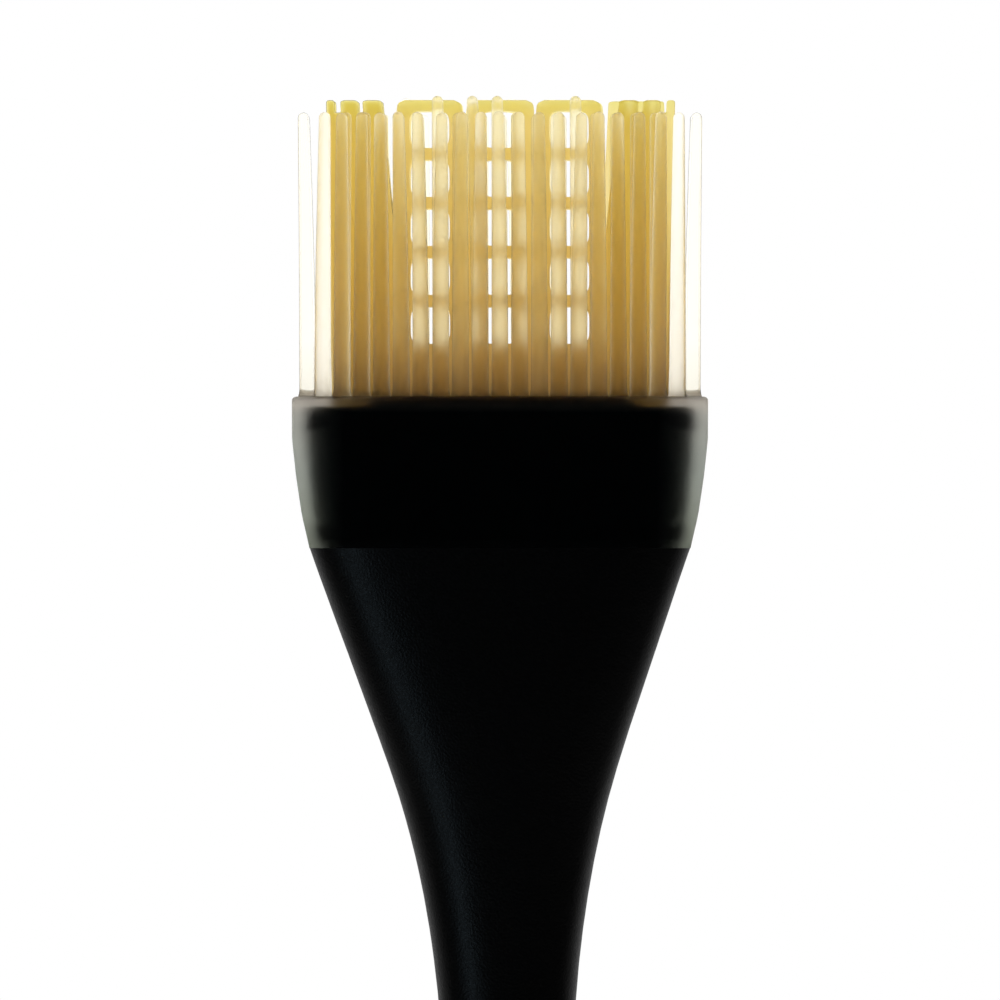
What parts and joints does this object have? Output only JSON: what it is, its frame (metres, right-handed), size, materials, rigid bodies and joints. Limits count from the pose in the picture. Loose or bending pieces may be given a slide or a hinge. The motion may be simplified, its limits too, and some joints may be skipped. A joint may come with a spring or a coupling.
{
  "type": "silicone basting brush",
  "caption": "Flat silicone brush for basting or spreading hair tint: clear bristles and slotted amber flaps in a translucent collar, on a flared black soft grip.",
  "frame": {"origin": "middle of the handle's butt, the lowest point when the brush stands bristles up", "axes": "+Z along the brush towards the bristle tips, +X across the width, front face towards -Y"},
  "size_m": [0.0442, 0.0186, 0.21],
  "materials": {
    "grip_rubber": "soft-touch, fine matt grain",
    "core_plastic": "satin moulded",
    "insert_plastic": "satin moulded",
    "collar_silicone": "translucent, frosted",
    "clear_silicone": "clear, smooth",
    "amber_silicone": "translucent amber, smooth"
  },
  "bodies": {
    "handle": {"handle_core": "core_plastic", "grip": "grip_rubber"},
    "head": {"head_core": "insert_plastic", "collar": "collar_silicone", "flap_bed": "amber_silicone"},
    "front_outer_row": {"front_outer_bristles": "clear_silicone"},
    "front_inner_row": {"front_inner_bristles": "clear_silicone"},
    "front_flap_row": {"front_flap_1": "amber_silicone", "front_flap_2": "amber_silicone", "front_flap_3": "amber_silicone", "front_flap_4": "amber_silicone", "front_flap_5": "amber_silicone", "front_end_bristles": "clear_silicone"},
    "back_outer_row": {"back_outer_bristles": "clear_silicone"},
    "back_inner_row": {"back_inner_bristles": "clear_silicone"},
    "back_flap_row": {"back_flap_1": "amber_silicone", "back_flap_2": "amber_silicone", "back_flap_3": "amber_silicone", "back_flap_4": "amber_silicone", "back_flap_5": "amber_silicone", "back_end_bristles": "clear_silicone"},
    "middle_row": {"middle_bristles": "clear_silicone"}
  },
  "joints": [
    {"name": "head_pull", "type": "slide", "parent": "handle", "child": "head", "axis": [0, 0, 1], "range_m": [0, 0.02]},
    {"name": "front_outer_row_flex", "type": "hinge", "parent": "head", "child": "front_outer_row", "pos_m": [0, -0.00705, 0.17923], "axis": [1, 0, 0], "range_deg": [-35, 35]},
    {"name": "front_inner_row_flex", "type": "hinge", "parent": "head", "child": "front_inner_row", "pos_m": [0, -0.0047, 0.17923], "axis": [1, 0, 0], "range_deg": [-35, 35]},
    {"name": "front_flap_row_flex", "type": "hinge", "parent": "head", "child": "front_flap_row", "pos_m": [0, -0.00235, 0.17923], "axis": [1, 0, 0], "range_deg": [-35, 35], "stiffness_Nm_per_rad": 0.005},
    {"name": "back_outer_row_flex", "type": "hinge", "parent": "head", "child": "back_outer_row", "pos_m": [0, 0.00705, 0.17923], "axis": [1, 0, 0], "range_deg": [-35, 35]},
    {"name": "back_inner_row_flex", "type": "hinge", "parent": "head", "child": "back_inner_row", "pos_m": [0, 0.0047, 0.17923], "axis": [1, 0, 0], "range_deg": [-35, 35]},
    {"name": "back_flap_row_flex", "type": "hinge", "parent": "head", "child": "back_flap_row", "pos_m": [0, 0.00235, 0.17923], "axis": [1, 0, 0], "range_deg": [-35, 35]},
    {"name": "middle_row_flex", "type": "hinge", "parent": "head", "child": "middle_row", "pos_m": [0, 0, 0.17923], "axis": [1, 0, 0], "range_deg": [-35, 35]}
  ],
  "couplings": [
    {"joint": "front_outer_row_flex", "follows": "front_flap_row_flex", "ratio": 1},
    {"joint": "front_inner_row_flex", "follows": "front_flap_row_flex", "ratio": 1},
    {"joint": "back_outer_row_flex", "follows": "front_flap_row_flex", "ratio": 1},
    {"joint": "back_inner_row_flex", "follows": "front_flap_row_flex", "ratio": 1},
    {"joint": "back_flap_row_flex", "follows": "front_flap_row_flex", "ratio": 1},
    {"joint": "middle_row_flex", "follows": "front_flap_row_flex", "ratio": 1}
  ]
}
